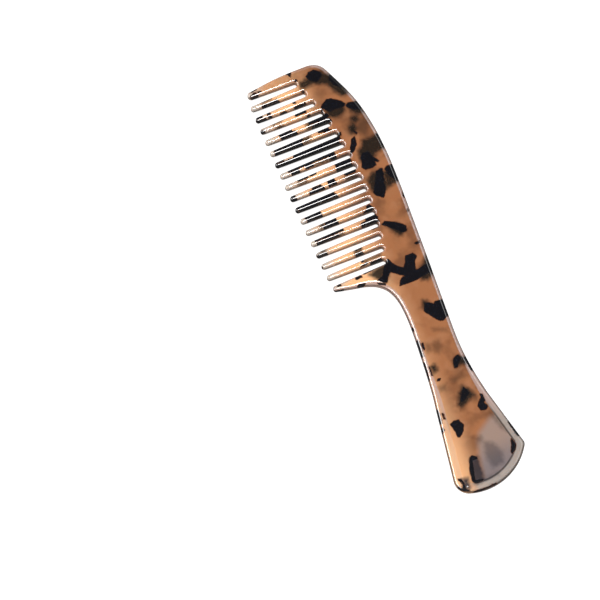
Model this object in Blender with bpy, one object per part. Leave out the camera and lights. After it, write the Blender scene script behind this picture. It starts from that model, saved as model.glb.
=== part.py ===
"""A one-piece handle comb of tortoiseshell acetate, 20 cm long, lying flat with its teeth towards -X.

The comb is sawn from one sheet and polished, so it is one solid: a curved spine, a row of tapering teeth
between two thicker end teeth, a neck, and a handle that flares to a wide bevelled end. Its outline is drawn
in plan, each point is paired with the point inside it where the polished edge meets the flat face, and the
edge is lofted between the two.
"""

import math

import bmesh
import bpy
from mathutils import Vector
from mathutils.geometry import delaunay_2d_cdt, interpolate_bezier

NAME = "comb_body"
MM = 0.001  # the sizes below are in millimetres

# Sheet, which thins towards the tips of the teeth from this X, and over this stretch of the neck
THICKNESS = 5.0
TIP_THICKNESS = 3.2
TAPER_FROM_X = 2.0
TAPER_FROM_Y = -18.0
TAPER_FULL_Y = 4.0

# Polished edges: wide and round on the body, tighter between the teeth
EDGE_ROUND = 2.0
EDGE_DROP = 1.5
TOOTH_ROUND = 1.0
TIP_BLEND = 3  # the body's edge has tightened to the teeth's a third of the way to their tips
EDGE_STEPS = 3

# Teeth, sawn at an even pitch down to an arc that follows the spine
TOOTH_COUNT = 18
PITCH = 5.42
SECOND_TOOTH_Y = 90.7
TIP_WIDTH = 2.35
ROOT_WIDTH = 3.2
TIP_X = -24.6
TIP_BOW_Y = 65.0
TIP_BOW_RADIUS = 2000.0
ROOT_X = 6.95
ROOT_BOW_Y = 44.0
ROOT_BOW_RADIUS = 138.0
HEAD_TOOTH_TIP = Vector((-21.95, 96.52))
HEAD_TOOTH_TIP_RADIUS = 1.58
NECK_TOOTH_TIP = Vector((-22.0, 3.95))
NECK_TOOTH_TIP_RADIUS = 1.2
ROUND_STEPS = 7

# Handle
FLARE_RIGHT = Vector((18.25, -61.0))
FLARE_LEFT = Vector((-4.3, -61.0))
FLARE_RIGHT_WAY = Vector((0.2155, -0.9765))
FLARE_LEFT_WAY = Vector((-0.172, -0.985))
END_CENTRE = Vector((2.7, -74.5))
END_RADIUS = 25.1
HEEL_RADIUS = 6.5
POINT_ROUND = 1.0
BEVEL_POINT_ROUND = 2.6
BEVEL_WIDTH = 3.9
BEVEL_FROM_Y = -32.0
BEVEL_FULL_Y = -76.0
BEVEL_DROP = 1.7

# The neck's polished edge, widest under the last tooth
NECK_EDGE = Vector((-8.0, -1.0))
NECK_EDGE_WIDTH = 2.8
NECK_EDGE_REACH = 9.0

# The back of the comb, from the flare up the handle and spine and over the head, and the lower side,
# from the last tooth round the neck and down the handle
BACK = [(16.8, -51), (16.05, -38), (17.1, -20), (18.55, 0), (19.85, 20), (20.95, 38), (21.3, 52), (20.4, 66)]
HEAD = [(17.85, 79), (11.8, 94.6), (10.2, 97.2), (7.5, 98.9), (4, 99.5), (-10, 99.3), (-21.95, 98.1)]
NECK = [(-22, 2.75), (-15, 1.2), (-10, 0.1), (-5.6, -1.9), (-2.3, -5.2), (-0.4, -9.8), (0.35, -16)]
GRIP = [(0.2, -24), (-0.95, -37), (-2.85, -53)]
CURVE_STEPS = 4
END_STEPS = 14

SHELL_COLOUR = (0.56, 0.27, 0.12, 1.0)
SHELL_ROUGHNESS = 0.12


def clear_scene():
    for obj in list(bpy.data.objects):
        bpy.data.objects.remove(obj, do_unlink=True)


def smooth(knots, steps):
    """Points along a smooth curve through the knots, without the last knot."""
    knots = [Vector(knot) for knot in knots]
    points = []
    for i in range(len(knots) - 1):
        start, end = knots[i], knots[i + 1]
        reach = (end - start).length / 3
        leave = (end - knots[max(i - 1, 0)]).normalized() * reach
        arrive = (knots[min(i + 2, len(knots) - 1)] - start).normalized() * reach
        points += interpolate_bezier(start, start + leave, end - arrive, end, steps + 1)[:-1]
    return points


def arc(centre, radius, start, end, steps):
    """Points on an arc, both ends included, with the angles in degrees."""
    points = []
    for i in range(steps + 1):
        angle = math.radians(start + (end - start) * i / steps)
        points.append(centre + radius * Vector((math.cos(angle), math.sin(angle))))
    return points


def slot_ys():
    """The centre line of each slot, from the head to the neck."""
    return [SECOND_TOOTH_Y + PITCH * (0.5 - i) for i in range(TOOTH_COUNT - 1)]


def root_x(y):
    return ROOT_X - ROOT_BOW_RADIUS + math.sqrt(ROOT_BOW_RADIUS**2 - (y - ROOT_BOW_Y) ** 2)


def tip_x(y):
    return TIP_X + (y - TIP_BOW_Y) ** 2 / (2 * TIP_BOW_RADIUS)


def tooth_row():
    """The slots and the tips between them, from the underside of the first tooth to the top of the last."""
    root_radius = (PITCH - ROOT_WIDTH) / 2
    tip_radius = TIP_WIDTH / 2
    points = []
    for i, y in enumerate(slot_ys()):
        if i:
            tip_y = y + PITCH / 2
            centre = Vector((tip_x(tip_y) + tip_radius, tip_y))
            points += arc(centre, tip_radius, 90, 270, ROUND_STEPS)
        centre = Vector((root_x(y) - root_radius, y))
        points += arc(centre, root_radius, 90, -90, ROUND_STEPS)
    return points


def meet(start, way, centre, radius):
    """Where a line from start, running along way, leaves a circle."""
    foot = start + way * (centre - start).dot(way)
    return foot + way * math.sqrt(radius**2 - (centre - foot).length_squared)


def inward(way):
    """The direction to the left of a way, which is into the comb on an outline that runs anticlockwise."""
    return Vector((-way.y, way.x))


def handle_end(inset, start_inset, point_round):
    """The flared end, down the left side, round the heel and along the end arc to the point and up."""
    left_in, right_in = inward(FLARE_LEFT_WAY), inward(-FLARE_RIGHT_WAY)
    heel = meet(FLARE_LEFT + left_in * HEEL_RADIUS, FLARE_LEFT_WAY, END_CENTRE, END_RADIUS - HEEL_RADIUS)
    side_angle = math.degrees(math.atan2(-left_in.y, -left_in.x))
    end_way = heel - END_CENTRE
    end_angle = math.degrees(math.atan2(end_way.y, end_way.x))
    around_heel = arc(heel, HEEL_RADIUS - inset, side_angle % 360, end_angle % 360, ROUND_STEPS)
    side_start = FLARE_LEFT + left_in * start_inset
    down = [side_start.lerp(around_heel[0], i / END_STEPS) for i in range(END_STEPS)]
    radius = END_RADIUS - inset
    point = meet(FLARE_RIGHT + right_in * inset, FLARE_RIGHT_WAY, END_CENTRE, radius)
    point_angle = math.degrees(math.atan2(point.y - END_CENTRE.y, point.x - END_CENTRE.x))
    stop_angle = point_angle - math.degrees(point_round / radius)
    along = arc(END_CENTRE, radius, end_angle % 360, stop_angle % 360, END_STEPS)[1:]
    side_end = FLARE_RIGHT + right_in * start_inset
    leave = point + (side_end - point).normalized() * point_round
    corner = interpolate_bezier(along[-1], along[-1].lerp(point, 0.6), leave.lerp(point, 0.6), leave, ROUND_STEPS)
    up = [leave.lerp(side_end, i / END_STEPS) for i in range(1, END_STEPS)]
    return down + around_heel + along + [Vector(p) for p in corner[1:]] + up


def eased(share):
    share = min(max(share, 0.0), 1.0)
    return share * share * (3 - 2 * share)


def bevel_share(y):
    """0 on the comb and the grip, rising to 1 at the bevelled end of the handle."""
    return eased((BEVEL_FROM_Y - y) / (BEVEL_FROM_Y - BEVEL_FULL_Y))


def neck_share(point):
    """1 at the middle of the neck's wide edge, falling to 0 along it, and 0 on the tooth's other side."""
    if point.y > NECK_TOOTH_TIP.y:
        return 0.0
    return eased(1 - (point - NECK_EDGE).length / NECK_EDGE_REACH)


def tooth_share(point):
    """0 on the spine and the handle, rising to 1 at the tips of the teeth."""
    along = min(max((TAPER_FROM_X - point.x) / (TAPER_FROM_X - TIP_X), 0.0), 1.0)
    return along * eased((point.y - TAPER_FROM_Y) / (TAPER_FULL_Y - TAPER_FROM_Y))


def in_tooth_row(point):
    return point.x <= ROOT_X and NECK_TOOTH_TIP.y < point.y < HEAD_TOOTH_TIP.y


def half_thickness(point):
    return (THICKNESS + (TIP_THICKNESS - THICKNESS) * tooth_share(point)) / 2


def edge_width(point):
    """How far in from the outline the polished edge reaches."""
    if in_tooth_row(point):
        return TOOTH_ROUND
    if point.y < BEVEL_FROM_Y:
        return EDGE_ROUND + (BEVEL_WIDTH - EDGE_ROUND) * bevel_share(point.y)
    width = EDGE_ROUND + (TOOTH_ROUND - EDGE_ROUND) * min(1.0, TIP_BLEND * tooth_share(point))
    return width + (NECK_EDGE_WIDTH - EDGE_ROUND) * neck_share(point)


def edge_drop(point):
    """How far the polished edge falls from the flat face."""
    if in_tooth_row(point):
        return TOOTH_ROUND
    drop = EDGE_DROP + (TOOTH_ROUND - EDGE_DROP) * min(1.0, TIP_BLEND * tooth_share(point))
    return drop + (BEVEL_DROP - EDGE_DROP) * bevel_share(point.y)


def paired_outline():
    """The outline, anticlockwise, and the line inside it where the edge meets the flat face."""
    end_start = edge_width(FLARE_LEFT)
    body = smooth([FLARE_RIGHT, *BACK, *HEAD], CURVE_STEPS)
    body += arc(HEAD_TOOTH_TIP, HEAD_TOOTH_TIP_RADIUS, 90, 270, ROUND_STEPS)
    body += tooth_row()
    body += arc(NECK_TOOTH_TIP, NECK_TOOTH_TIP_RADIUS, 90, 270, ROUND_STEPS)[:-1]
    body += smooth([*NECK, *GRIP, FLARE_LEFT], CURVE_STEPS)
    end = handle_end(0.0, 0.0, POINT_ROUND)
    outer = body + end
    inner = []
    for i, point in enumerate(body):
        way = (outer[i + 1] - outer[i - 1]).normalized()
        inner.append(point + inward(way) * edge_width(point))
    inner += handle_end(BEVEL_WIDTH, end_start, BEVEL_POINT_ROUND)
    return outer, inner


def edge_rings(outer, inner):
    """Rings of points from the lower flat face round the edge to the upper one, the underside on z = 0."""
    top = []
    for step in range(EDGE_STEPS + 1):
        angle = math.pi / 2 * step / EDGE_STEPS
        ring = []
        for edge, face in zip(outer, inner):
            plan = edge.lerp(face, 1 - math.cos(angle))
            height = half_thickness(plan) - edge_drop(edge) * (1 - math.sin(angle))
            ring.append(Vector((plan.x, plan.y, height)))
        top.append(ring)
    under = [[Vector((p.x, p.y, -p.z)) for p in ring] for ring in reversed(top)]
    return [[(p + Vector((0, 0, THICKNESS / 2))) * MM for p in ring] for ring in under + top]


def flat_triangles(ring):
    """Triangles over the flat face, each as three places in the ring."""
    plan = [point.to_2d() / MM for point in ring]
    found = delaunay_2d_cdt(plan, [], [list(range(len(plan)))], 1, 1e-6)
    faces, sources = found[2], found[3]
    return [[sources[corner][0] for corner in face] for face in faces]


def comb_mesh():
    rings = edge_rings(*paired_outline())
    bm = bmesh.new()
    loops = [[bm.verts.new(point) for point in ring] for ring in rings]
    for lower, upper in zip(loops, loops[1:]):
        for i in range(len(lower)):
            bm.faces.new((lower[i - 1], lower[i], upper[i], upper[i - 1]))
    for a, b, c in flat_triangles(rings[-1]):
        bm.faces.new((loops[-1][a], loops[-1][b], loops[-1][c]))
        bm.faces.new((loops[0][c], loops[0][b], loops[0][a]))
    mesh = bpy.data.meshes.new(NAME)
    bm.to_mesh(mesh)
    bm.free()
    return mesh


def shell_material():
    material = bpy.data.materials.new("tortoiseshell_acetate")
    material.use_nodes = True
    surface = material.node_tree.nodes["Principled BSDF"]
    surface.inputs["Base Color"].default_value = SHELL_COLOUR
    surface.inputs["Roughness"].default_value = SHELL_ROUGHNESS
    return material


def main():
    clear_scene()
    comb = bpy.data.objects.new(NAME, comb_mesh())
    comb.data.materials.append(shell_material())
    bpy.context.collection.objects.link(comb)


main()
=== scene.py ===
"""The handle comb's looks: a fine mesh of the one-piece comb in polished tortoiseshell, on a pale floor."""

import math

import bmesh
import bpy
import numpy as np
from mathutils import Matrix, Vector, noise
from mathutils.geometry import delaunay_2d_cdt, interpolate_bezier

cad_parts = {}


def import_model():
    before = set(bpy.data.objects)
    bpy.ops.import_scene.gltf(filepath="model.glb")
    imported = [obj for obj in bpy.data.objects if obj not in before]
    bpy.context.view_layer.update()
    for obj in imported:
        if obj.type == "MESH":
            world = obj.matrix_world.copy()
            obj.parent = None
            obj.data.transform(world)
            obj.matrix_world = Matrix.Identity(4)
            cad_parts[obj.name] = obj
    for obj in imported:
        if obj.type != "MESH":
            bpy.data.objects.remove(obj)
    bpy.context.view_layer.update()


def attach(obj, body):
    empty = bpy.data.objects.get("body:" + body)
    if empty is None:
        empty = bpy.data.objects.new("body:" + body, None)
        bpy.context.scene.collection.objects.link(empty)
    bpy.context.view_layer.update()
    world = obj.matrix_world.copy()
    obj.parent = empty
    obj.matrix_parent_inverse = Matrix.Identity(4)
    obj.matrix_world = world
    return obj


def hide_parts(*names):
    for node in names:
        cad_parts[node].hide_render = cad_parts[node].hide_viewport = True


MM = 0.001  # the comb's sizes below are in millimetres, as in the CAD model

# Sheet
THICKNESS = 5.0
TIP_THICKNESS = 3.2
TAPER_FROM_X = 2.0
TAPER_FROM_Y = -18.0
TAPER_FULL_Y = 4.0
EDGE_ROUND = 2.0
EDGE_DROP = 1.5
TOOTH_ROUND = 1.0
TIP_BLEND = 3  # the body's edge has tightened to the teeth's a third of the way to their tips
EDGE_STEPS = 7

# Teeth
TOOTH_COUNT = 18
PITCH = 5.42
SECOND_TOOTH_Y = 90.7
TIP_WIDTH = 2.35
ROOT_WIDTH = 3.2
TIP_X = -24.6
TIP_BOW_Y = 65.0
TIP_BOW_RADIUS = 2000.0
ROOT_X = 6.95
ROOT_BOW_Y = 44.0
ROOT_BOW_RADIUS = 138.0
HEAD_TOOTH_TIP = Vector((-21.95, 96.52))
HEAD_TOOTH_TIP_RADIUS = 1.58
NECK_TOOTH_TIP = Vector((-22.0, 3.95))
NECK_TOOTH_TIP_RADIUS = 1.2
ROUND_STEPS = 12
TOOTH_STEPS = 50

# Handle
FLARE_RIGHT = Vector((18.25, -61.0))
FLARE_LEFT = Vector((-4.3, -61.0))
FLARE_RIGHT_WAY = Vector((0.2155, -0.9765))
FLARE_LEFT_WAY = Vector((-0.172, -0.985))
END_CENTRE = Vector((2.7, -74.5))
END_RADIUS = 25.1
HEEL_RADIUS = 6.5
POINT_ROUND = 1.0
BEVEL_POINT_ROUND = 2.6
BEVEL_WIDTH = 3.9
BEVEL_FROM_Y = -32.0
BEVEL_FULL_Y = -76.0
BEVEL_DROP = 1.7
BEVEL_CORNER = 0.5  # the share of the bevel's width that its rounded outer corner takes
BEVEL_CORNER_RISE = 0.75  # and of its height
CORNER_PULL = 0.6  # how squarely the end's point turns

# The neck's polished edge, widest under the last tooth
NECK_EDGE = Vector((-8.0, -1.0))
NECK_EDGE_WIDTH = 2.8
NECK_EDGE_REACH = 9.0

BACK = [(16.8, -51), (16.05, -38), (17.1, -20), (18.55, 0), (19.85, 20), (20.95, 38), (21.3, 52), (20.4, 66)]
HEAD = [(17.85, 79), (11.8, 94.6), (10.2, 97.2), (7.5, 98.9), (4, 99.5), (-10, 99.3), (-21.95, 98.1)]
NECK = [(-22, 2.75), (-15, 1.2), (-10, 0.1), (-5.6, -1.9), (-2.3, -5.2), (-0.4, -9.8), (0.35, -16)]
GRIP = [(0.2, -24), (-0.95, -37), (-2.85, -53)]
CURVE_STEPS = 24
END_STEPS = 56
FACE_GRID = 0.5  # between the points that carry the pattern over the flat faces
GRID_MARGIN = 0.225  # and from them to the flat face's outline
FILL_INSIDE = 1  # the triangulation's setting that keeps to the inside of an outline
SAME_POINT = 1e-6  # points nearer than this count as one

# Colours of the acetate, and of the painted sheen and painted shade on its edges, linear
AMBER = (0.275, 0.112, 0.048, 1)
AMBER_DEEP = (0.165, 0.067, 0.030, 1)
AMBER_PALE = (0.31, 0.142, 0.070, 1)
TOOTH_AMBER = (0.70, 0.390, 0.200, 1)
# Nearly clear: partly the thin tips' own paler tint, partly painted light seen through them and painted
# highlight
CLEAR_TIP = (0.42, 0.38, 0.33, 1)
# Painted sheen: the pale light off and through the rounded edges, pink, and grey towards the handle's end
SHEEN_PINK = (0.36, 0.260, 0.235, 1)
SHEEN_GREY = (0.31, 0.282, 0.260, 1)
# Painted shade: dark, on the edge above the wall and along the bevel's crease
SHADE_DARK = (0.03, 0.022, 0.018, 1)
FLAKE_BLACK = (0.004, 0.004, 0.006, 1)
FLAKE_BROWN = (0.060, 0.020, 0.008, 1)
DEEP_OLIVE = (0.009, 0.008, 0.006, 1)
DEEP_SLATE = (0.020, 0.020, 0.027, 1)
MAUVE = (0.25, 0.180, 0.150, 1)
MAUVE_GREY = (0.165, 0.137, 0.140, 1)

# The pattern slants through the sheet: this far in x and y for each millimetre of height
SLANT = (0.111, 0.264)
WANDER = 0.25  # how far the flakes' outlines stray from their corners
WANDER_SCALE = 0.8
WANDER_SEED = 1  # without it the noise would start from the clock
FAR = 6.0  # beyond this, a flake has no effect

# A flake that lies wholly above or below this height on its tooth spreads this far across it
CENTRE_BAND = 0.1
SPREAD = 0.25

# How far along x the corners of a tooth's flake move, so that its ends slant
LOWER_END = 0.2
UPPER_END = -0.3
UPPER_START = 0.2

# The flakes, each by its corners in plan, at the middle of the sheet
FLAKES = [
    # head
    [(-5.0, 100.4), (-2.2, 100.4), (-3.1, 97.8)],
    [(-2.4, 95.9), (-1.4, 95.9), (-1.3, 95.1), (-2.2, 95.0)],
    [(-22.2, 98.4), (-18.6, 99.1), (-18.8, 98.3), (-21.0, 98.0)],
    [(-22.9, 96.2), (-20.4, 97.4), (-19.5, 97.0), (-19.8, 96.3), (-22.0, 96.0)],
    [(-19.0, 97.1), (-17.0, 96.9), (-17.2, 96.4), (-18.6, 96.4)],
    [(-22.6, 95.7), (-19.0, 95.9), (-19.4, 94.7), (-21.8, 94.6)],
    [(-1.6, 89.9), (-0.6, 90.4), (-0.2, 89.3), (-1.0, 88.9)],
    [(2.6, 95.3), (4.6, 96.8), (6.8, 97.1), (8.8, 95.7), (9.7, 94.2), (8.8, 92.6), (6.4, 91.4),
     (3.6, 93.2)],
    [(11.9, 91.9), (12.9, 92.6), (16.2, 85.6), (14.6, 85.0), (12.2, 87.5), (11.2, 90.4)],
    [(3.3, 80.3), (4.8, 81.5), (6.9, 82.7), (9.4, 82.0), (12.2, 79.7), (13.6, 78.0), (12.6, 76.8),
     (10.6, 76.8), (8.4, 77.2), (6.4, 76.8), (4.8, 78.2)],
    [(3.0, 79.8), (3.6, 78.9), (3.4, 77.2), (2.8, 77.6)],
    [(13.3, 76.9), (14.6, 77.8), (18.4, 77.0), (19.4, 73.6), (18.4, 72.8), (16.6, 73.6), (14.4, 75.0)],
    [(12.1, 66.0), (13.2, 63.9), (12.6, 63.2), (11.9, 64.4)],
    [(5.1, 66.8), (6.9, 67.0), (6.4, 65.3), (5.0, 65.4)],
    [(9.8, 62.2), (11.5, 62.9), (11.0, 59.6), (9.4, 57.4), (6.6, 55.7), (7.8, 58.9)],
    # spine
    [(20.0, 60.4), (22.2, 60.4), (22.2, 54.4), (20.6, 54.6)],
    [(9.6, 50.6), (10.2, 53.4), (11.6, 54.8), (14.2, 54.6), (15.0, 51.8), (16.8, 49.0), (16.2, 48.4),
     (15.1, 49.4), (14.8, 47.4), (12.4, 47.1), (10.0, 47.4), (8.9, 48.8)],
    [(13.6, 45.2), (16.7, 45.5), (16.2, 42.4), (14.9, 38.8), (14.5, 36.2), (12.1, 32.9), (9.2, 35.6),
     (9.0, 37.0), (11.0, 40.2)],
    [(17.4, 44.6), (18.8, 45.5), (21.8, 45.2), (21.8, 37.6), (20.2, 37.8), (18.0, 41.0)],
    [(19.9, 31.0), (20.9, 32.8), (21.2, 29.6), (20.0, 29.8)],
    [(18.8, 24.2), (19.3, 24.7), (19.7, 23.8), (19.0, 23.3)],
    [(6.6, 22.5), (8.4, 23.4), (11.6, 21.7), (14.4, 19.7), (15.8, 18.2), (15.5, 15.9), (13.6, 15.7),
     (12.6, 16.4), (11.4, 18.0), (9.0, 20.2)],
    [(16.0, 9.4), (17.2, 9.9), (18.6, 9.9), (18.3, 9.0), (16.8, 8.9)],
    [(1.0, 6.2), (3.1, 7.6), (4.1, 5.0), (5.6, 3.0), (7.7, 1.6), (9.6, -1.0), (7.2, -2.2), (4.8, -0.6),
     (2.0, 1.9), (0.4, 0.6), (-1.2, -1.9), (-3.0, -0.9), (-4.6, 0.8), (-2.2, 1.6), (-0.8, 3.4)],
    [(7.7, 1.6), (9.2, 3.4), (10.3, 6.0), (13.7, 6.0), (14.7, 4.2), (13.2, 2.4), (12.0, -1.4),
     (9.0, -2.0)],
    [(5.4, -2.2), (12.2, -1.3), (19.2, -0.2), (19.2, -4.4), (15.6, -4.8), (9.6, -5.5), (3.0, -5.2),
     (4.2, -3.0)],
    # grip
    [(8.0, -19.2), (9.8, -15.8), (11.6, -16.4), (13.0, -18.0), (13.9, -17.0), (16.4, -17.2),
     (17.8, -17.8), (17.6, -24.4), (15.4, -25.2), (13.8, -26.1), (12.0, -25.2), (10.4, -22.8)],
    [(0.2, -24.0), (1.1, -24.0), (1.0, -25.7), (0.1, -25.6)],
    [(0.6, -29.6), (0.9, -31.0), (0.1, -37.4), (-1.3, -37.0), (-0.9, -31.0)],
    [(1.4, -31.8), (2.2, -31.4), (1.9, -34.2), (1.2, -34.8)],
    [(-0.6, -39.6), (-0.9, -44.0), (-1.8, -47.8), (-2.8, -47.4), (-1.8, -40.0)],
    [(0.3, -42.0), (0.8, -42.0), (0.4, -46.4), (-0.1, -46.0)],
    [(10.6, -43.4), (12.2, -42.1), (13.7, -41.9), (14.3, -43.6), (12.6, -45.2), (11.2, -47.0),
     (9.9, -46.8)],
    [(15.3, -44.2), (16.6, -43.4), (17.2, -52.0), (15.9, -50.0)],
    [(1.1, -48.8), (1.9, -48.3), (3.0, -48.4), (2.0, -49.4)],
    # handle
    [(10.0, -55.4), (10.9, -56.6), (11.5, -58.8), (9.6, -60.4), (7.0, -61.4), (6.6, -60.2),
     (8.6, -57.4)],
    [(15.2, -61.0), (16.1, -61.2), (16.2, -64.4), (15.2, -65.0), (16.3, -67.0), (15.2, -68.0),
     (12.8, -67.6), (12.4, -65.4), (13.6, -63.6), (14.8, -62.8)],
    [(-1.3, -68.2), (0.4, -67.4), (2.6, -67.6), (3.7, -70.4), (2.6, -72.8), (0.4, -74.7), (-0.7, -74.5),
     (-0.5, -71.6), (-1.0, -69.8)],
    [(-3.3, -60.4), (-4.2, -66.8), (-6.0, -66.4), (-5.0, -60.6)],
    [(-4.8, -68.0), (-4.4, -69.6), (-6.0, -70.8), (-6.4, -69.6)],
    [(-1.9, -62.2), (-2.2, -65.4), (-2.8, -65.2), (-2.6, -62.6)],
    [(0.2, -84.5), (1.6, -83.8), (3.6, -85.1), (3.5, -86.0), (1.2, -85.9), (0.0, -89.5), (-1.0, -93.9),
     (2.2, -94.7), (2.0, -95.3), (-1.6, -95.4), (-2.5, -93.8), (-1.6, -88.6)],
    [(-7.7, -90.6), (-6.3, -91.2), (-5.7, -94.2), (-6.2, -96.0), (-7.4, -95.4), (-6.8, -94.0)],
    [(-8.8, -93.2), (-7.8, -94.9), (-4.8, -96.7), (-5.0, -97.4), (-8.0, -96.2), (-9.2, -94.4)],
    [(-3.5, -98.1), (2.0, -98.5), (6.5, -98.2), (6.4, -98.8), (0.5, -99.1), (-3.8, -98.8)],
    [(21.0, -76.4), (22.4, -75.8), (24.2, -83.4), (22.3, -83.8)],
    [(19.7, -83.4), (20.4, -86.4), (19.1, -88.4), (17.4, -89.6), (17.2, -88.8), (18.3, -86.6),
     (19.0, -84.4)],
    # roots and the neck
    [(-0.8, 70.1), (2.2, 70.4), (3.6, 69.4), (1.2, 69.2)],
    [(5.4, 27.2), (6.0, 27.4), (6.5, 26.0), (5.8, 25.2)],
    [(1.5, 29.9), (3.6, 31.3), (3.8, 32.5), (5.2, 32.7), (6.2, 31.4), (6.3, 29.9), (4.4, 29.6)],
    [(1.8, 22.5), (4.9, 22.7), (4.8, 22.1), (2.2, 22.0)],
    [(-9.2, 8.6), (-5.4, 10.0), (-4.8, 9.3), (-6.8, 8.8)],
    [(-23.6, 3.4), (-20.4, 2.9), (-19.2, 2.6), (-19.6, 1.6), (-21.6, 1.8), (-23.2, 2.6)],
    [(-13.4, 1.4), (-12.4, 2.1), (-9.8, 1.6), (-10.4, 0.4), (-12.8, 0.4)],
    [(-9.0, 5.3), (-4.0, 5.5), (1.2, 6.1), (1.0, 6.6), (-4.0, 6.2), (-9.0, 6.0)],
    [(-5.2, -0.2), (-3.4, -1.2), (-1.9, -1.8), (-2.3, -2.6), (-4.4, -1.4)],
]

# Flakes on the teeth, counted from the head: from x, to x, and the lower and upper sides about the
# tooth's centre line
TOOTH_FLAKES = {
    2: [(-19.6, -12.0, -2.0, -0.5)],
    3: [(-25.0, -21.2, 0.0, 1.7), (-25.0, -23.2, -2.0, 0.4), (-24.0, -19.6, -2.0, -0.9),
        (-18.9, -17.4, 0.1, 1.3), (-18.9, -17.4, -1.5, -0.5), (-13.8, -10.8, -2.0, -1.2),
        (-7.2, -1.8, -1.9, -1.0), (-6.8, -5.6, 0.7, 1.3)],
    4: [(-24.9, -22.8, -1.4, -0.1), (-8.2, -3.2, 0.6, 2.0), (-3.5, -2.3, -2.0, -1.3)],
    5: [(-17.8, -12.0, 0.3, 2.0), (-17.6, -10.3, -1.8, -0.2), (-4.4, 5.0, 0.3, 2.2),
        (-3.8, 5.2, -2.3, -0.6)],
    6: [(-22.4, -9.0, 0.4, 2.0), (-22.8, -9.9, -2.0, -0.1), (-2.2, 2.7, 0.8, 2.0)],
    7: [(-25.0, -20.4, 0.7, 2.0), (-24.8, 4.6, -2.4, -0.1), (-16.0, 5.6, 0.3, 2.2),
        (-25.0, -23.4, -1.6, 1.2)],
    8: [(-20.7, 0.7, 0.5, 2.0), (-19.7, -15.8, -1.6, -0.3), (-13.2, -9.3, -1.2, -0.1),
        (-2.2, 0.8, -2.0, -0.2)],
    9: [(-18.4, -13.8, 0.6, 2.0), (-12.7, -9.9, 0.9, 2.0), (-1.2, 5.9, 0.3, 2.2),
        (-1.4, 5.5, -2.2, -0.3)],
    10: [(-24.9, -21.9, -1.8, 1.8), (-22.4, -21.1, 1.2, 2.0), (-14.2, -10.0, 0.5, 0.9),
        (-16.0, -9.1, -1.6, -0.2), (-7.1, -3.7, -1.6, 2.0), (0.9, 5.8, 0.6, 2.3)],
    11: [(-23.6, -6.3, 0.2, 2.0), (-23.0, -5.3, -2.2, -0.2), (-24.9, -23.4, -1.6, 1.5)],
    12: [(-22.1, -15.0, 0.2, 2.0), (-21.7, -14.7, -1.8, -0.1)],
    13: [(-15.3, -10.0, 0.5, 2.0), (-16.6, -9.8, -1.7, -0.1)],
    14: [(-22.2, -9.0, 0.5, 2.0), (-21.8, -11.4, -1.7, -0.6), (1.2, 6.0, 0.6, 2.3),
        (-1.6, 6.2, -2.0, 0.0)],
    15: [(-23.9, -19.3, -1.6, -0.3)],
    16: [(-8.4, -5.4, 0.9, 2.0), (-8.9, -5.4, -1.9, -0.7), (-24.9, -23.6, -0.8, 0.6)],
    17: [(-7.7, -6.5, 0.8, 1.5), (-4.6, 0.8, -2.2, -0.9)],
    18: [(-21.1, -19.5, 0.1, 1.0), (-12.8, -10.0, 0.0, 0.9)],
}

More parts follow.
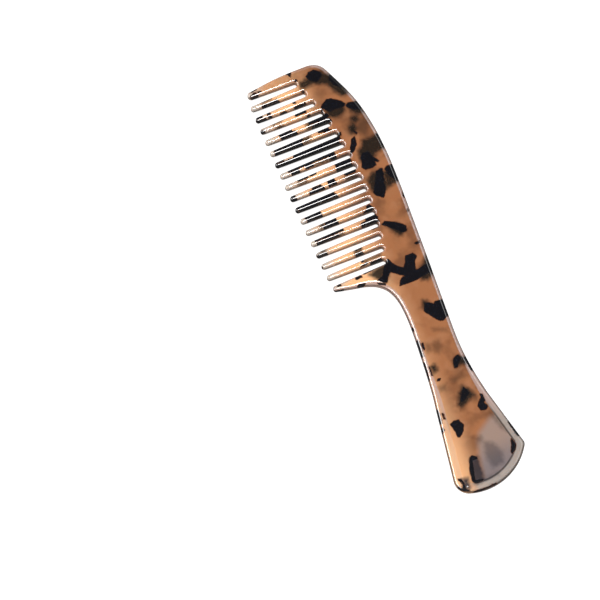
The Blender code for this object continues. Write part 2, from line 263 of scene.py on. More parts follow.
# Flakes deep in the sheet, which show blurred through the amber
DEEP_FLAKES = [
    [(-1.3, 91.6), (-0.8, 94.2), (3.2, 94.6), (6.8, 94.0), (8.0, 91.0), (4.0, 91.2), (0.6, 90.6)],
    [(4.4, 95.0), (9.6, 95.4), (12.4, 92.4), (16.8, 84.6), (16.0, 81.6), (13.6, 81.6), (11.6, 84.6),
     (10.0, 88.6), (7.4, 89.8), (4.6, 91.0)],
    [(4.6, 78.4), (12.8, 77.6), (12.2, 75.2), (10.0, 73.7), (7.0, 73.7), (4.8, 75.2)],
    [(13.6, 77.0), (19.0, 76.4), (19.4, 71.4), (16.8, 71.2), (14.4, 73.6)],
    [(13.2, 70.8), (15.6, 71.4), (16.0, 69.2), (14.2, 68.8)],
    [(10.8, 67.2), (13.0, 68.4), (13.6, 66.2), (12.4, 64.4), (10.6, 65.2)],
    [(12.4, 56.8), (13.4, 60.0), (16.6, 59.8), (21.4, 60.0), (21.8, 53.6), (18.4, 52.6), (15.4, 52.6),
     (12.8, 54.0)],
    [(9.4, 51.6), (10.4, 56.4), (13.4, 58.2), (17.0, 57.4), (17.0, 52.6), (14.4, 49.6)],
    [(8.7, 37.6), (8.7, 42.8), (11.6, 45.0), (15.6, 45.0), (16.6, 38.6), (14.8, 35.8), (10.0, 35.8)],
    [(15.8, 43.6), (20.6, 44.6), (21.8, 37.8), (18.4, 37.2), (15.4, 36.4)],
    [(8.2, 22.4), (9.2, 18.6), (11.4, 15.6), (12.6, 14.8), (15.0, 16.2), (13.4, 20.2)],
    [(-7.0, 4.4), (-1.0, 6.0), (1.6, 5.8), (1.2, 1.6), (-1.4, -1.2), (-4.4, 1.0)],
    [(12.6, -6.2), (15.0, -7.2), (18.9, -5.6), (19.6, 3.8), (17.4, 1.8), (14.6, -0.6), (12.4, -1.5)],
    [(8.2, -17.4), (9.2, -14.8), (11.0, -15.4), (12.0, -18.0), (9.4, -19.0)],
    [(1.0, -42.2), (3.2, -42.0), (3.2, -45.0), (1.0, -45.4)],
    [(10.4, -43.6), (14.2, -42.6), (16.4, -44.5), (16.2, -47.2), (12.8, -46.2), (10.4, -46.6)],
    [(9.8, -54.8), (11.8, -57.0), (13.4, -60.4), (9.4, -62.2), (5.6, -63.8), (5.0, -61.8),
     (7.4, -57.4)],
    [(0.4, -85.0), (3.7, -85.0), (3.3, -89.0), (2.5, -95.2), (-1.6, -95.2), (-0.8, -89.0)],
    [(-6.2, -91.4), (-3.6, -92.0), (-4.6, -96.0), (-6.4, -96.2)],
    [(-19.0, 92.3), (-14.8, 92.5), (-14.8, 91.7), (-18.6, 91.5)],
    [(-18.6, 81.6), (-14.6, 81.8), (-14.6, 81.0), (-18.4, 80.8)],
    [(-17.6, 79.4), (-14.6, 79.6), (-14.6, 78.4), (-17.4, 78.4)],
    [(-9.4, 70.8), (-5.6, 70.6), (-6.4, 68.6), (-9.4, 68.0)],
    [(-5.6, 76.0), (-3.6, 76.2), (-3.4, 73.2), (-5.6, 73.6)],
    [(-9.4, 58.6), (-1.8, 58.8), (-1.8, 57.2), (-8.6, 57.4)],
    [(-19.0, 52.9), (-14.8, 53.0), (-14.8, 51.9), (-18.8, 51.8)],
    [(0.6, 47.4), (5.4, 47.4), (5.2, 46.2), (0.8, 46.4)],
    [(-17.6, 32.6), (-15.0, 33.0), (-15.6, 30.4), (-18.0, 30.4)],
    [(-21.9, 21.8), (-19.4, 21.8), (-19.6, 20.6), (-21.6, 20.6)],
    [(-12.0, 25.8), (-9.6, 25.8), (-9.6, 24.6), (-12.0, 24.6)],
    [(-8.8, 16.0), (-5.4, 16.0), (-5.6, 14.0), (-8.8, 14.0)],
    [(-6.6, 10.8), (0.6, 11.0), (0.6, 10.2), (-6.0, 10.0)],
]

# Faint stains, by their corners
STAINS = [
    [(8.8, 67.0), (13.2, 72.2), (16.2, 71.2), (13.8, 66.4), (12.2, 63.2), (9.6, 64.0)],
    [(12.8, 66.0), (18.8, 70.6), (19.6, 66.0), (16.0, 60.4)],
    [(8.0, -27.0), (14.0, -29.6), (13.6, -31.0), (8.4, -28.6)],
    [(4.8, -33.0), (9.0, -32.6), (9.2, -36.0), (6.6, -38.6), (4.6, -36.4)],
    [(2.6, -32.0), (5.0, -33.0), (4.6, -36.2), (1.6, -36.8)],
    [(6.2, -50.0), (12.6, -49.2), (13.4, -51.8), (7.0, -53.0)],
    [(0.2, -51.2), (4.2, -51.6), (3.6, -54.0), (0.4, -53.8)],
    [(15.6, -69.8), (17.4, -70.8), (19.0, -80.0), (17.4, -78.0)],
    [(5.2, -76.8), (8.8, -77.4), (8.6, -80.4), (5.6, -79.6)],
    [(8.2, -79.8), (12.2, -82.0), (14.2, -87.0), (12.8, -91.8), (7.6, -92.2), (6.6, -87.0)],
    [(-2.0, -94.8), (9.0, -94.4), (9.0, -95.8), (-2.0, -96.0)],
    [(-5.9, -91.6), (-3.6, -91.8), (-4.6, -95.8), (-5.6, -94.2)],
    [(12.4, -61.0), (14.2, -61.4), (13.4, -63.4), (11.4, -63.0)],
]

# The lower part of the handle's end, which turns grey-mauve
MAUVE_END = [
    [(8.0, -75.8), (14.6, -71.6), (19.5, -70.5), (24.0, -86.0), (20.0, -93.0), (6.0, -99.0),
     (-4.0, -99.5), (2.2, -93.6), (4.2, -84.5), (6.0, -79.4)],
]


# ---- Shape ----


def smooth(knots, steps):
    """Points along a smooth curve through the knots, without the last knot."""
    knots = [Vector(knot) for knot in knots]
    points = []
    for i in range(len(knots) - 1):
        start, end = knots[i], knots[i + 1]
        reach = (end - start).length / 3
        leave = (end - knots[max(i - 1, 0)]).normalized() * reach
        arrive = (knots[min(i + 2, len(knots) - 1)] - start).normalized() * reach
        points += interpolate_bezier(start, start + leave, end - arrive, end, steps + 1)[:-1]
    return points


def arc(centre, radius, start, end, steps):
    """Points on an arc, both ends included, with the angles in degrees."""
    points = []
    for i in range(steps + 1):
        angle = math.radians(start + (end - start) * i / steps)
        points.append(centre + radius * Vector((math.cos(angle), math.sin(angle))))
    return points


def straight(start, end, steps):
    """Points on a straight line, without its ends."""
    return [start.lerp(end, i / steps) for i in range(1, steps)]


def slot_ys():
    return [SECOND_TOOTH_Y + PITCH * (0.5 - i) for i in range(TOOTH_COUNT - 1)]


def root_x(y):
    return ROOT_X - ROOT_BOW_RADIUS + math.sqrt(ROOT_BOW_RADIUS**2 - (y - ROOT_BOW_Y) ** 2)


def tip_x(y):
    return TIP_X + (y - TIP_BOW_Y) ** 2 / (2 * TIP_BOW_RADIUS)


def tooth_row(head_tip, neck_tip):
    """The slots and the tips between them, from the first tooth's tip arc to the last tooth's."""
    root_radius = (PITCH - ROOT_WIDTH) / 2
    tip_radius = TIP_WIDTH / 2
    stops = [head_tip]
    for i, y in enumerate(slot_ys()):
        if i:
            tip_y = y + PITCH / 2
            stops.append(arc(Vector((tip_x(tip_y) + tip_radius, tip_y)), tip_radius, 90, 270, ROUND_STEPS))
        stops.append(arc(Vector((root_x(y) - root_radius, y)), root_radius, 90, -90, ROUND_STEPS))
    stops.append(neck_tip)
    points = []
    for before, after in zip(stops, stops[1:]):
        points += before + straight(before[-1], after[0], TOOTH_STEPS)
    return points + neck_tip[:-1]


def meet(start, way, centre, radius):
    """Where a line from start, running along way, leaves a circle."""
    foot = start + way * (centre - start).dot(way)
    return foot + way * math.sqrt(radius**2 - (centre - foot).length_squared)


def inward(way):
    return Vector((-way.y, way.x))


def handle_end(inset, start_inset, point_round):
    """The flared end, down the left side, round the heel and along the end arc to the point and up."""
    left_in, right_in = inward(FLARE_LEFT_WAY), inward(-FLARE_RIGHT_WAY)
    heel = meet(FLARE_LEFT + left_in * HEEL_RADIUS, FLARE_LEFT_WAY, END_CENTRE, END_RADIUS - HEEL_RADIUS)
    side_angle = math.degrees(math.atan2(-left_in.y, -left_in.x))
    end_way = heel - END_CENTRE
    end_angle = math.degrees(math.atan2(end_way.y, end_way.x))
    around_heel = arc(heel, HEEL_RADIUS - inset, side_angle % 360, end_angle % 360, ROUND_STEPS)
    side_start = FLARE_LEFT + left_in * start_inset
    down = [side_start, *straight(side_start, around_heel[0], END_STEPS)]
    radius = END_RADIUS - inset
    point = meet(FLARE_RIGHT + right_in * inset, FLARE_RIGHT_WAY, END_CENTRE, radius)
    point_angle = math.degrees(math.atan2(point.y - END_CENTRE.y, point.x - END_CENTRE.x))
    stop_angle = point_angle - math.degrees(point_round / radius)
    along = arc(END_CENTRE, radius, end_angle % 360, stop_angle % 360, END_STEPS)[1:]
    side_end = FLARE_RIGHT + right_in * start_inset
    leave = point + (side_end - point).normalized() * point_round
    pulls = along[-1].lerp(point, CORNER_PULL), leave.lerp(point, CORNER_PULL)
    corner = interpolate_bezier(along[-1], *pulls, leave, ROUND_STEPS)
    up = straight(leave, side_end, END_STEPS)
    return down + around_heel + along + [Vector(p) for p in corner[1:]] + up


def eased(share):
    share = min(max(share, 0.0), 1.0)
    return share * share * (3 - 2 * share)


def bevel_share(y):
    """0 on the comb and the grip, rising to 1 at the bevelled end of the handle."""
    return eased((BEVEL_FROM_Y - y) / (BEVEL_FROM_Y - BEVEL_FULL_Y))


def neck_share(point):
    """1 at the middle of the neck's wide edge, falling to 0 along it, and 0 on the tooth's other side."""
    return 0.0 if point.y > NECK_TOOTH_TIP.y else eased(1 - (point - NECK_EDGE).length / NECK_EDGE_REACH)


def tooth_share(point):
    """0 on the spine and the handle, rising to 1 at the tips of the teeth."""
    along = min(max((TAPER_FROM_X - point.x) / (TAPER_FROM_X - TIP_X), 0.0), 1.0)
    return along * eased((point.y - TAPER_FROM_Y) / (TAPER_FULL_Y - TAPER_FROM_Y))


def in_tooth_row(point):
    return point.x <= ROOT_X and NECK_TOOTH_TIP.y < point.y < HEAD_TOOTH_TIP.y


def half_thickness(point):
    return (THICKNESS + (TIP_THICKNESS - THICKNESS) * tooth_share(point)) / 2


def edge_width(point):
    if in_tooth_row(point):
        return TOOTH_ROUND
    if point.y < BEVEL_FROM_Y:
        return EDGE_ROUND + (BEVEL_WIDTH - EDGE_ROUND) * bevel_share(point.y)
    width = EDGE_ROUND + (TOOTH_ROUND - EDGE_ROUND) * min(1.0, TIP_BLEND * tooth_share(point))
    return width + (NECK_EDGE_WIDTH - EDGE_ROUND) * neck_share(point)


def edge_drop(point):
    if in_tooth_row(point):
        return TOOTH_ROUND
    rounding = EDGE_DROP + (TOOTH_ROUND - EDGE_DROP) * min(1.0, TIP_BLEND * tooth_share(point))
    return rounding + (BEVEL_DROP - EDGE_DROP) * bevel_share(point.y)


def paired_outline():
    """The outline, anticlockwise, and the line inside it where the edge meets the flat face."""
    body = smooth([FLARE_RIGHT, *BACK, *HEAD], CURVE_STEPS)
    head_tip = arc(HEAD_TOOTH_TIP, HEAD_TOOTH_TIP_RADIUS, 90, 270, ROUND_STEPS)
    neck_tip = arc(NECK_TOOTH_TIP, NECK_TOOTH_TIP_RADIUS, 90, 270, ROUND_STEPS)
    body += tooth_row(head_tip, neck_tip)
    body += smooth([*NECK, *GRIP, FLARE_LEFT], CURVE_STEPS)
    outer = body + handle_end(0.0, 0.0, POINT_ROUND)
    inner = []
    for i, point in enumerate(body):
        way = (outer[i + 1] - outer[i - 1]).normalized()
        inner.append(point + inward(way) * edge_width(point))
    return outer, inner + handle_end(BEVEL_WIDTH, edge_width(FLARE_LEFT), BEVEL_POINT_ROUND)


def edge_shape(step, bevel):
    """How far in and how far up the edge has come at a step, as shares. Bevelled, it is flatter."""
    angle = math.pi / 2 * step / EDGE_STEPS
    plan, rise = 1 - math.cos(angle), math.sin(angle)
    turn = min(plan / BEVEL_CORNER, 1.0)
    corner = BEVEL_CORNER_RISE * math.sqrt(1 - (1 - turn) ** 2)
    slope = (1 - BEVEL_CORNER_RISE) / (1 - BEVEL_CORNER)
    bevelled = corner + slope * max(plan - BEVEL_CORNER, 0.0)
    return plan, rise + (bevelled - rise) * bevel


def edge_rings(outer, inner):
    """Rings of points from the lower flat face round the edge to the upper one, the underside on z = 0.

    With each ring comes how far down the edge its points are, from 0 at the flat face to 1 at the wall.
    """
    top, rims = [], []
    for step in range(EDGE_STEPS + 1):
        ring, rim = [], []
        for edge, face in zip(outer, inner):
            share, rise = edge_shape(step, bevel_share(edge.y))
            plan = edge.lerp(face, share)
            height = half_thickness(plan) - edge_drop(edge) * (1 - rise)
            ring.append(Vector((plan.x, plan.y, height)))
            rim.append(1 - rise)
        top.append(ring)
        rims.append(rim)
    under = [[Vector((p.x, p.y, -p.z)) for p in ring] for ring in reversed(top)]
    rings = [[(p + Vector((0, 0, THICKNESS / 2))) * MM for p in ring] for ring in under + top]
    return rings, rims[::-1] + rims


def inside_polygon(points, corners):
    """Whether each point is inside the polygon, by counting the sides to its right."""
    inside = np.zeros(len(points), bool)
    x, y = points.T
    for start, end in zip(corners, np.roll(corners, -1, axis=0)):
        if start[1] == end[1]:
            continue
        crosses = (start[1] > y) != (end[1] > y)
        inside ^= crosses & (x < start[0] + (y - start[1]) * (end[0] - start[0]) / (end[1] - start[1]))
    return inside


def outline_distance(points, corners):
    """How far each point is from the nearest side of the polygon."""
    nearest = np.full(len(points), np.inf)
    for start, end in zip(corners, np.roll(corners, -1, axis=0)):
        way = end - start
        along = np.clip((points - start) @ way / (way @ way), 0, 1)
        gap = points - start - along[:, None] * way
        nearest = np.minimum(nearest, np.hypot(gap[:, 0], gap[:, 1]))
    return nearest


def face_grid(ring):
    """Points in staggered rows inside the flat face, clear of its outline."""
    corners = np.array(ring)
    low, high = corners.min(axis=0), corners.max(axis=0)
    rows = np.arange(low[1], high[1], FACE_GRID)
    columns = np.arange(low[0], high[0], FACE_GRID)
    x, y = np.meshgrid(columns, rows)
    x[1::2] += FACE_GRID / 2
    points = np.column_stack((x.ravel(), y.ravel()))
    points = points[inside_polygon(points, corners)]
    return points[outline_distance(points, corners) > GRID_MARGIN]


def flat_faces(ring):
    """The flat face's own points, and triangles whose corners count the ring's points and then these."""
    inner = [Vector(point) for point in face_grid(ring)]
    plan = [Vector(point) for point in ring] + inner
    found = delaunay_2d_cdt(plan, [], [list(range(len(ring)))], FILL_INSIDE, SAME_POINT)
    faces, sources = found[2], found[3]
    return inner, [[sources[corner][0] for corner in face] for face in faces]


def mark_creases(mesh, rings):
    """Makes each ring's own edges sharp. A ring is given by its first point and the one past its last."""
    ends = np.empty(2 * len(mesh.edges), np.int32)
    mesh.edges.foreach_get("vertices", ends)
    ends = ends.reshape(-1, 2)
    sharp = np.zeros(len(ends), bool)
    for first, past in rings:
        sharp |= np.all((ends >= first) & (ends < past), axis=1)
    mesh.attributes.new("sharp_edge", "BOOLEAN", "EDGE").data.foreach_set("value", sharp)


def comb_mesh():
    outer, inner = paired_outline()
    rings, rims = edge_rings(outer, inner)
    count = len(outer)
    grid, triangles = flat_faces([point.to_tuple() for point in inner])
    upper = [Vector((p.x, p.y, THICKNESS / 2 + half_thickness(p))) * MM for p in grid]
    lower = [Vector((p.x, p.y, THICKNESS / 2 - half_thickness(p))) * MM for p in grid]
    points = [point for ring in rings for point in ring] + upper + lower
    faces = []
    for step in range(len(rings) - 1):
        for i in range(count):
            before = (i - 1) % count
            a, b = step * count, (step + 1) * count
            faces.append((a + before, a + i, b + i, b + before))
    top, past_rings = (len(rings) - 1) * count, len(rings) * count

    def placed(corner, ring_start, grid_start):
        return ring_start + corner if corner < count else grid_start + corner - count

    for face in triangles:
        faces.append([placed(corner, top, past_rings) for corner in face])
        faces.append([placed(corner, 0, past_rings + len(grid)) for corner in reversed(face)])
    mesh = bpy.data.meshes.new("comb_shell")
    mesh.from_pydata(points, [], faces)
    mesh.shade_smooth()
    mark_creases(mesh, [(0, count), (top, top + count)])
    depths = [depth for rim in rims for depth in rim] + [0.0] * (2 * len(grid))
    mesh.attributes.new("rim", "FLOAT", "POINT").data.foreach_set("value", depths)
    return mesh


# ---- Pattern ----


def patch_field(points, patches):
    """How far each point is outside the nearest patch, in millimetres, and below 0 inside one."""
    field = np.full(len(points), FAR)
    for patch in patches:
        corners = np.array(patch)
        near = np.all((points > corners.min(axis=0) - FAR) & (points < corners.max(axis=0) + FAR), axis=1)
        close = points[near]
        distance = outline_distance(close, corners)
        distance[inside_polygon(close, corners)] *= -1
        field[near] = np.minimum(field[near], distance)
    return field


def tooth_centre(tooth):
    return SECOND_TOOTH_Y - PITCH * (tooth - 2) + SLANT[1] * TIP_THICKNESS / 2


def tooth_patch(tooth, start, end, low, high):
    """A flake on a tooth, with slanted ends. One on only one side of the centre line spreads towards it."""
    if low > CENTRE_BAND:
        low -= SPREAD
    if high < CENTRE_BAND:
        high += SPREAD
    y = tooth_centre(tooth)
    lower = [(start, y + low), (end + LOWER_END, y + low)]
    return lower + [(end + UPPER_END, y + high), (start + UPPER_START, y + high)]


def tooth_patches():
    return [tooth_patch(tooth, *flake) for tooth, flakes in TOOTH_FLAKES.items() for flake in flakes]


def add_pattern(mesh):
    """Stores each point's distance to the flakes, the deep flakes, the stains and the smoke."""
    flat = np.empty(len(mesh.vertices) * 3)
    mesh.vertices.foreach_get("co", flat)
    place = flat.reshape(-1, 3) / MM
    plan = place[:, :2] + (place[:, 2:] - THICKNESS / 2) * np.array(SLANT)
    noise.seed_set(WANDER_SEED)
    stray = np.array([noise.noise_vector(Vector((x, y, 0)) * WANDER_SCALE)[:2] for x, y in plan])
    fields = {
        "flake": patch_field(plan + WANDER * stray, FLAKES + tooth_patches()),
        "deep_flake": patch_field(plan + 2 * WANDER * stray, DEEP_FLAKES),
        "stain": patch_field(plan + 2 * WANDER * stray, STAINS),
        "mauve_end": patch_field(plan, MAUVE_END),
    }
    for name, field in fields.items():
        mesh.attributes.new(name, "FLOAT", "POINT").data.foreach_set("value", field)


# ---- Material ----

# Noises over the sheet: their scales for each millimetre, and their detail
CLOUDS = (0.09, 3.0)
WISPS = (0.17, 2.0)
GRAIN = (2.5, 2.0)

# Where each look starts and where it is complete. First by the noises' values
CLOUD_EDGES = (0.38, 0.6)
WISP_EDGES = (0.5, 0.72)

# by x and y, in millimetres
THIN_X = (6.5, -10.0)
HEAD_TOOTH_Y = (93.0, 96.0)
CLEAR_X = (-14.0, -24.0)
TEETH_X = (7.5, 5.0)
TEETH_Y = (4.0, 6.0)
LEFT_SIDE_X = (0.0, -4.0)
LEFT_SIDE_Y = (-20.0, -40.0)
GREY_EDGE_Y = (-60.0, -78.0)
MAUVE_GREY_Y = (-80.0, -92.0)
CREASE_X = (-4.0, 0.0)
CREASE_Y = (-60.0, -76.0)
SLATE_Y = (-76.0, -84.0)

# by how far down the edge, from 0 at the flat face to 1 at the wall
# PALE_RIM places the painted sheen, SHADE_RIM and SHADE_END_RIM the painted shade
PALE_RIM = (0.0, 0.06)
SHADE_RIM = (0.35, 0.65)
SHADE_END_RIM = (1.0, 0.97)
MAUVE_END_RIM = (0.14, 0.05)
# CREASE_RIM and CREASE_END_RIM place the painted crease shade
CREASE_RIM = (0.0, 0.012)
CREASE_END_RIM = (0.13, 0.08)

# and by the distance outside a patch, in millimetres
MAUVE_END_BLUR = (1.6, -2.2)
STAIN_BLUR = (1.4, -1.6)
DEEP_BLUR = (1.6, -1.0)
FRINGE_BLUR = (0.42, 0.02)
FLAKE_BLUR = (0.12, -0.12)

# How much of each look there is where it is complete
WISP_SHARE = 0.5
# PALE_SHARE is for the painted sheen, SHADE_SHARE for the painted shade
PALE_SHARE = 0.85
SHADE_SHARE = 0.8
MAUVE_END_SHARE = 0.95
CREASE_SHADE_SHARE = 0.75
STAIN_SHARE = 0.5
DEEP_SHARE = 0.95

# How much less the thin look is on the head's tooth, and the edges' looks on the teeth and the left side
HEAD_TOOTH_LOSS = 0.55
TEETH_LOSS = 0.7
LEFT_SIDE_LOSS = 0.6

GRAIN_MIDDLE = 0.5  # of the grain's values
GRAIN_REACH = 0.35  # how far the grain moves a flake's outline, in millimetres


class Nodes:
    """Adds nodes to a tree and links their inputs."""

    def __init__(self, tree):
        self.tree = tree

    def fill(self, socket, value):
        if isinstance(value, bpy.types.NodeSocket):
            self.tree.links.new(value, socket)
        else:
            socket.default_value = value

    def add(self, kind, inputs=(), **settings):
        node = self.tree.nodes.new("ShaderNode" + kind)
        for name, value in settings.items():
            setattr(node, name, value)
        for key, value in dict(inputs).items():
            self.fill(node.inputs[key], value)
        return node

    def maths(self, operation, *values):
        return self.add("Math", enumerate(values), operation=operation).outputs[0]

    def times(self, product, *others):
        for other in others:
            product = self.maths("MULTIPLY", product, other)
        return product

    def less(self, full, loss, where):
        """The full value, with the loss taken off it where the last value is 1."""
        return self.maths("MULTIPLY_ADD", where, -loss, full)

    def ease(self, value, start, end):
        """0 before start, 1 past end, and smooth between."""
        inputs = {"Value": value, "From Min": start, "From Max": end}
        return self.add("MapRange", inputs, interpolation_type="SMOOTHSTEP").outputs[0]

    def between(self, value, low, high, edge):
        """1 between low and high, and 0 outside them, with a soft edge inside each."""
        return self.times(self.ease(value, low, low + edge), self.ease(value, high, high - edge))

    def mix(self, share, a, b):
        node = self.add("Mix", data_type="RGBA")
        factor, first, second = (node.inputs[place] for place in (0, 6, 7))
        self.fill(factor, share)
        self.fill(first, a)
        self.fill(second, b)
        return node.outputs[2]

    def noise(self, where, scale, detail):
        return self.add("TexNoise", {"Vector": where, "Scale": scale, "Detail": detail}).outputs["Fac"]

    def field(self, name):
        return self.add("Attribute", attribute_name=name).outputs["Fac"]


def amber(nodes, where, x, y):
    """The sheet's cloudy amber, paler on the thin teeth and nearly clear at their tips, where the thin
    acetate's paler tint joins painted light seen through them and painted highlight.
    """
    colour = nodes.mix(nodes.ease(nodes.noise(where, *CLOUDS), *CLOUD_EDGES), AMBER_DEEP, AMBER)
    wisps = nodes.ease(nodes.noise(where, *WISPS), *WISP_EDGES)
    colour = nodes.mix(nodes.times(wisps, WISP_SHARE), colour, AMBER_PALE)
    off_head_tooth = nodes.less(1.0, HEAD_TOOTH_LOSS, nodes.ease(y, *HEAD_TOOTH_Y))
    colour = nodes.mix(nodes.times(off_head_tooth, nodes.ease(x, *THIN_X)), colour, TOOTH_AMBER)
    # the tips' clear grey: partly their own tint, partly painted light seen through them and painted
    # highlight
    return nodes.mix(nodes.ease(x, *CLEAR_X), colour, CLEAR_TIP)


def with_edges(nodes, colour, rim, x, y):
    """The rounded edges: pale with painted sheen, and dark above the wall with painted shade, both less so
    on the teeth.
    """
    on_teeth = nodes.times(nodes.ease(x, *TEETH_X), nodes.ease(y, *TEETH_Y))
    off_teeth = nodes.less(1.0, TEETH_LOSS, on_teeth)
    left_side = nodes.times(nodes.ease(x, *LEFT_SIDE_X), nodes.ease(y, *LEFT_SIDE_Y))
    sheen_share = nodes.less(PALE_SHARE, LEFT_SIDE_LOSS, left_side)
    # painted sheen: pale pink, turning grey towards the handle's end, over the rounded edges
    sheen = nodes.mix(nodes.ease(y, *GREY_EDGE_Y), SHEEN_PINK, SHEEN_GREY)
    colour = nodes.mix(nodes.times(nodes.ease(rim, *PALE_RIM), sheen_share, off_teeth), colour, sheen)
    # painted shade: dark on the edge just above the wall
    shade = nodes.times(nodes.ease(rim, *SHADE_RIM), nodes.ease(rim, *SHADE_END_RIM), SHADE_SHARE)
    return nodes.mix(nodes.times(shade, off_teeth), colour, SHADE_DARK)


def with_mauve_end(nodes, colour, rim, x, y):
    """The grey-mauve lower part of the handle's end, and a dark line of painted shade where its bevel meets
    the flat face.
    """
    mauve_end_colour = nodes.mix(nodes.ease(y, *MAUVE_GREY_Y), MAUVE, MAUVE_GREY)
    mauve_end = nodes.times(nodes.ease(nodes.field("mauve_end"), *MAUVE_END_BLUR), MAUVE_END_SHARE)
    colour = nodes.mix(nodes.times(mauve_end, nodes.ease(rim, *MAUVE_END_RIM)), colour, mauve_end_colour)
    # painted shade: a dark line along the crease where the bevel meets the flat face, right of the handle's
    # middle
    along_rim = nodes.times(nodes.ease(rim, *CREASE_RIM), nodes.ease(rim, *CREASE_END_RIM))
    crease_shade = nodes.times(along_rim, nodes.ease(x, *CREASE_X), nodes.ease(y, *CREASE_Y), CREASE_SHADE_SHARE)
    return nodes.mix(crease_shade, colour, SHADE_DARK)


def with_flakes(nodes, colour, where, y):
    """The stains, the blurred flakes deep in the sheet, and the sharp ones with their brown fringes."""
    depths = nodes.mix(nodes.ease(y, *SLATE_Y), DEEP_OLIVE, DEEP_SLATE)
    stain = nodes.ease(nodes.field("stain"), *STAIN_BLUR)
    colour = nodes.mix(nodes.times(stain, STAIN_SHARE), colour, depths)
    deep = nodes.ease(nodes.field("deep_flake"), *DEEP_BLUR)
    colour = nodes.mix(nodes.times(deep, DEEP_SHARE), colour, depths)
    grain = nodes.maths("SUBTRACT", nodes.noise(where, *GRAIN), GRAIN_MIDDLE)
    flake = nodes.maths("MULTIPLY_ADD", grain, GRAIN_REACH, nodes.field("flake"))
    fringe = nodes.times(nodes.ease(flake, *FRINGE_BLUR), nodes.less(1.0, 1.0, deep))
    colour = nodes.mix(fringe, colour, FLAKE_BROWN)
    return nodes.mix(nodes.ease(flake, *FLAKE_BLUR), colour, FLAKE_BLACK)


def acetate():
    material = bpy.data.materials.new("tortoiseshell_acetate")
    material.use_nodes = True
    nodes = Nodes(material.node_tree)
    in_metres = nodes.add("TexCoord").outputs["Object"]
    where = nodes.add("Mapping", {"Vector": in_metres, "Scale": (1 / MM,) * 3}).outputs[0]
    x, y, _ = nodes.add("SeparateXYZ", {0: where}).outputs
    rim = nodes.field("rim")

    colour = amber(nodes, where, x, y)
    colour = with_edges(nodes, colour, rim, x, y)
    colour = with_mauve_end(nodes, colour, rim, x, y)
    colour = with_flakes(nodes, colour, where, y)

    surface = material.node_tree.nodes["Principled BSDF"]
    nodes.fill(surface.inputs["Base Color"], colour)
    surface.inputs["Roughness"].default_value = 0.07
    surface.inputs["Coat Weight"].default_value = 1.0
    surface.inputs["Coat Roughness"].default_value = 0.05
    surface.inputs["IOR"].default_value = 1.49
    surface.inputs["Subsurface Weight"].default_value = 0.2
    surface.inputs["Subsurface Radius"].default_value = (1.0, 0.55, 0.35)
    surface.inputs["Subsurface Scale"].default_value = 0.6 * MM
    return material


# ---- Studio ----

VIEW_TILT = 16.0  # degrees between the camera's line and straight down
VIEW_TURN = 22.85  # degrees that the comb's +X lies above the picture's right
FRAME_WIDTH = 0.2512
CAMERA_AWAY = 1.6
AIM = Vector((-0.0378, 0.0054, 0.0025))

# The studio's light, linear: below the horizon, all round, on the dark card, and the lights themselves
BELOW = (0.08, 0.075, 0.07, 1)
AROUND = (0.2, 0.2, 0.2, 1)
CARD_GREY = (0.04, 0.04, 0.045, 1)
LEFT_LIGHT = (13.0, 12.6, 12.2, 1)
BACK_LIGHT = (3.5, 3.5, 3.5, 1)
LAMP_LIGHT = (32.0, 31.5, 31.0, 1)

HORIZON = (-0.1, 0.35)  # the heights, as sines, between which the studio brightens
CARD_EDGE = (0.86, 0.96)  # the cosines from the mirrored view between which it darkens

# The softboxes: bearing, lowest and highest heights, as sines, the cosine where the sides end, and light
SOFTBOXES = [(190, 0.48, 0.895, 0.6, LEFT_LIGHT), (20, 0.66, 0.80, 0.5, BACK_LIGHT)]
BOX_EDGE = 0.03
BOX_SIDE_EDGE = 0.1

# The lamp, nearly overhead, as shares of a direction along x, y and up: its sides, and its soft edges
LAMP_X = (-0.08, 0.29, 0.03)
LAMP_Y = (-0.11, 0.12, 0.02)
LAMP_ABOVE = (0.3, 0.4)

FLOOR_HALF = 3.0
FLOOR_GREY = (0.3, 0.3, 0.3, 1)
FLOOR_GLOW = 0.85


def bearing(turn, elevation):
    """A direction from the comb: turn is anticlockwise in the picture from its right, in degrees."""
    angle, rise = math.radians(turn - VIEW_TURN), math.radians(elevation)
    return Vector((math.cos(angle) * math.cos(rise), math.sin(angle) * math.cos(rise), math.sin(rise)))


def add_camera():
    data = bpy.data.cameras.new("camera")
    data.lens = data.sensor_width * CAMERA_AWAY / FRAME_WIDTH
    camera = bpy.data.objects.new("camera", data)
    back = bearing(-90, 90 - VIEW_TILT)
    camera.location = AIM + back * CAMERA_AWAY
    camera.rotation_euler = (-back).to_track_quat("-Z", "Y").to_euler()
    bpy.context.collection.objects.link(camera)
    bpy.context.scene.camera = camera


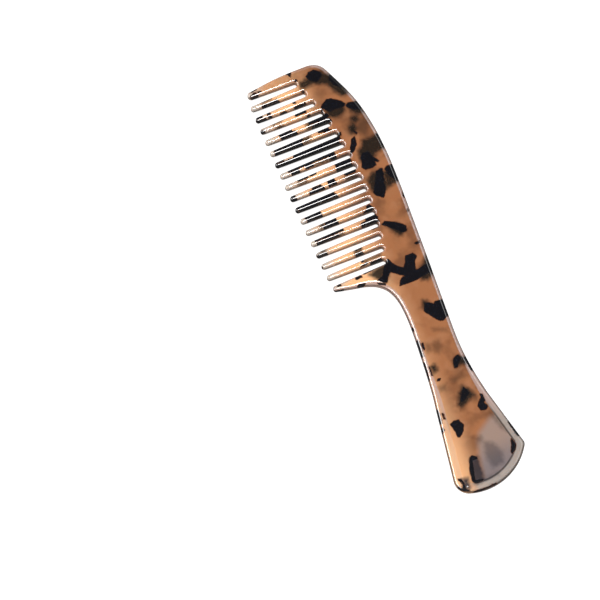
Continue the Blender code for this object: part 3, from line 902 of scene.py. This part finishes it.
def add_world():
    """The studio: dim, darkest where the flat face mirrors it, with two softboxes and a lamp."""
    world = bpy.data.worlds.new("studio")
    world.use_nodes = True
    nodes = Nodes(world.node_tree)
    way = nodes.add("TexCoord").outputs["Generated"]
    along_x, along_y, height = nodes.add("SeparateXYZ", {0: way}).outputs

    def toward(direction):
        return nodes.add("VectorMath", {0: way, 1: direction}, operation="DOT_PRODUCT").outputs["Value"]

    colour = nodes.mix(nodes.ease(height, *HORIZON), BELOW, AROUND)
    colour = nodes.mix(nodes.ease(toward(bearing(90, 90 - VIEW_TILT)), *CARD_EDGE), colour, CARD_GREY)
    for turn, lowest, highest, side_end, light in SOFTBOXES:
        side = nodes.ease(toward(bearing(turn, 0)), side_end, side_end + BOX_SIDE_EDGE)
        box = nodes.times(nodes.between(height, lowest, highest, BOX_EDGE), side)
        colour = nodes.mix(box, colour, light)
    lamp = nodes.times(nodes.between(along_x, *LAMP_X), nodes.between(along_y, *LAMP_Y))
    colour = nodes.mix(nodes.times(lamp, nodes.ease(height, *LAMP_ABOVE)), colour, LAMP_LIGHT)
    nodes.fill(world.node_tree.nodes["Background"].inputs["Color"], colour)
    bpy.context.scene.world = world


def add_floor():
    bm = bmesh.new()
    bmesh.ops.create_grid(bm, x_segments=1, y_segments=1, size=FLOOR_HALF)
    mesh = bpy.data.meshes.new("floor")
    bm.to_mesh(mesh)
    bm.free()
    floor = bpy.data.objects.new("floor", mesh)
    material = bpy.data.materials.new("floor_white")
    material.use_nodes = True
    surface = material.node_tree.nodes["Principled BSDF"]
    surface.inputs["Base Color"].default_value = FLOOR_GREY
    surface.inputs["Roughness"].default_value = 0.9
    surface.inputs["Specular IOR Level"].default_value = 0.1
    surface.inputs["Emission Color"].default_value = (1, 1, 1, 1)
    surface.inputs["Emission Strength"].default_value = FLOOR_GLOW
    mesh.materials.append(material)
    bpy.context.collection.objects.link(floor)
    floor.visible_glossy = False  # the comb's polished walls mirror the dark surroundings instead


def main():
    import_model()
    mesh = comb_mesh()
    add_pattern(mesh)
    mesh.materials.append(acetate())
    comb = bpy.data.objects.new("comb", mesh)
    bpy.context.collection.objects.link(comb)
    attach(comb, "root")
    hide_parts("comb_body")
    add_camera()
    add_world()
    add_floor()
    bpy.context.scene.view_settings.view_transform = "Standard"


main()
